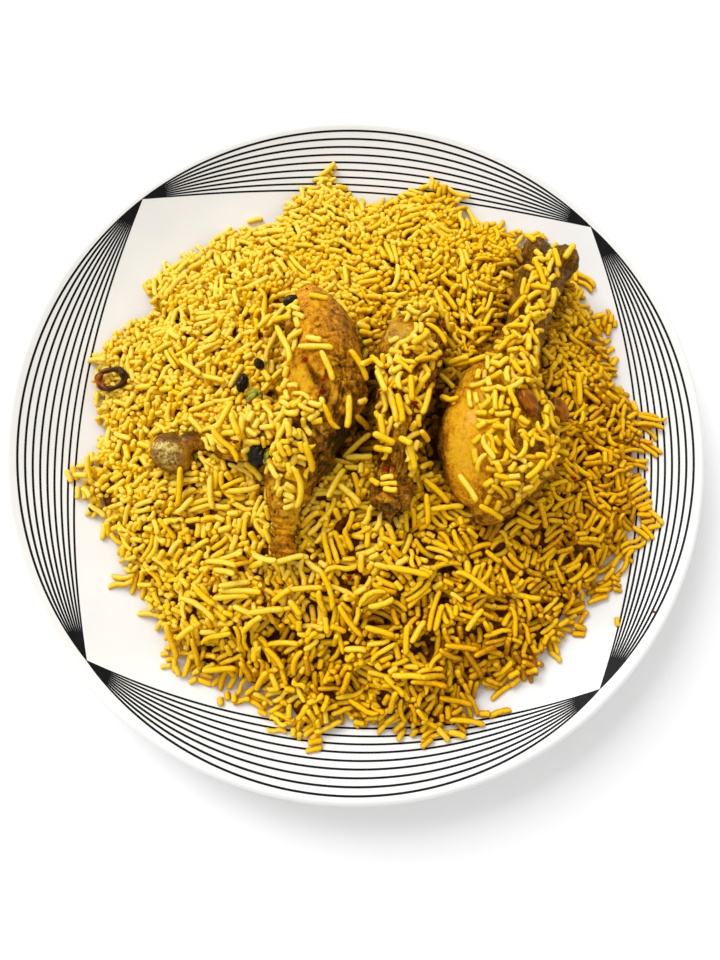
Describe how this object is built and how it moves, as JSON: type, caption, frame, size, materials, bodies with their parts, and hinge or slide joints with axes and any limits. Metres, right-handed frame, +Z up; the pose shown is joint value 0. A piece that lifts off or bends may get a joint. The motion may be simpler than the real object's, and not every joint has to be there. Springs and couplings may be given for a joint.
{
  "type": "plate of chicken biryani",
  "caption": "Yellow long-grain rice heaped on a round white coupe plate, with pieces of stewed chicken, raisins, fried onion and whole spices lying in it.",
  "frame": {"origin": "on the table, under the middle of the plate", "axes": "+Z up; +Y away from the eater, towards the far edge of the plate; +X to the right"},
  "size_m": [0.27, 0.27, 0.0567],
  "materials": {
    "glaze": "glossy white glaze with thin near-black printed lines on the border",
    "rice": "soft satin, cooked long-grain rice, turmeric yellow",
    "chicken_skin": "moist satin, stewed chicken with torn golden skin",
    "chicken_bony": "moist satin, darker flesh and bare bone",
    "chicken_roast": "moist satin, golden-orange drumstick skin",
    "raisin": "sticky amber-brown",
    "fried_onion": "crisp dark brown with an oily shine",
    "black_spice": "black, wet",
    "green_spice": "dull olive husk"
  },
  "bodies": {
    "root": {"plate": "glaze", "rice_heap": "rice", "chicken_thigh": "chicken_skin", "chicken_drumstick_left": "chicken_skin", "chicken_wing": "chicken_bony", "chicken_drumstick_right": "chicken_roast", "raisin_1": "raisin", "raisin_2": "raisin", "black_cardamom_1": "black_spice", "black_cardamom_2": "black_spice", "green_cardamom": "green_spice", "clove_1": "black_spice", "clove_2": "black_spice", "peppercorn": "black_spice", "onion_curl": "fried_onion", "loose_grain_1": "rice", "loose_grain_2": "rice", "loose_grain_3": "rice", "loose_grain_4": "rice"}
  },
  "joints": []
}
